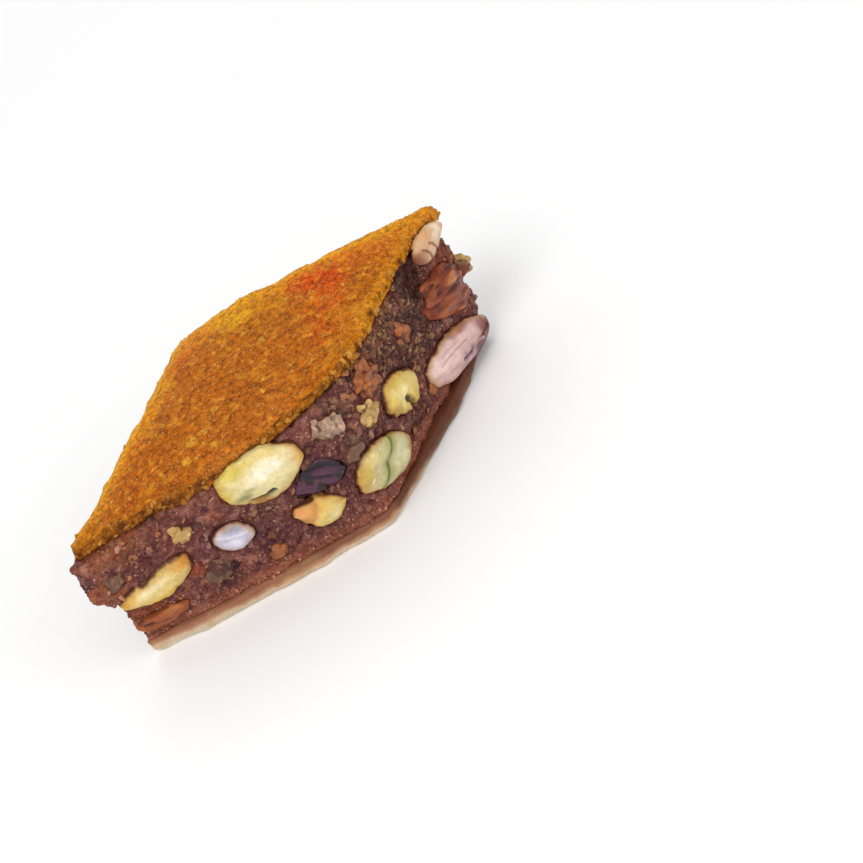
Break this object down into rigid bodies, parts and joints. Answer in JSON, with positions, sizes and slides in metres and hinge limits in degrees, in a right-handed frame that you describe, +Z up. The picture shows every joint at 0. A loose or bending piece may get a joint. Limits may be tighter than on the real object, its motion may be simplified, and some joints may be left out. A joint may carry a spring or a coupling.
{
  "type": "baklava piece",
  "caption": "Diamond-cut piece of nut baklava: glazed top crust, thick nut filling with whole kernels showing at the cuts, pale base crust.",
  "frame": {"origin": "middle of the piece's plan outline, at the underside of the base crust", "axes": "+X along the long diagonal towards the tip, +Z up through the layers, -Y towards the front corner"},
  "size_m": [0.0976, 0.0462, 0.0324],
  "materials": {
    "filling": "rough, moist crumb",
    "glazed_crust": "satin egg and saffron glaze",
    "base_pastry": "matt baked dough",
    "kernel_cream": "satin cut nut",
    "kernel_green": "satin cut nut",
    "kernel_white": "satin cut nut",
    "nut_skin": "wrinkled brown skin",
    "raisin": "sticky dark skin"
  },
  "bodies": {
    "root": {"nut_filling": "filling", "top_crust": "glazed_crust", "base_crust": "base_pastry", "pistachio_large": "kernel_cream", "nut_orange_skin": "kernel_cream", "almond_piece_pale": "kernel_white", "pistachio_long": "kernel_cream", "almond_skin_low": "nut_skin", "pistachio_split": "kernel_green", "pistachio_square": "kernel_cream", "almond_halved": "kernel_white", "almond_skin_side": "nut_skin", "almond_blanched_tip": "kernel_white", "raisin_dark": "raisin", "pistachio_back": "kernel_cream", "almond_back": "kernel_white", "pistachio_piece_back": "kernel_cream", "raisin_back": "raisin", "almond_halved_left": "kernel_white", "pistachio_split_left": "kernel_green", "pistachio_left": "kernel_cream", "nut_piece_left": "kernel_cream"}
  },
  "joints": []
}
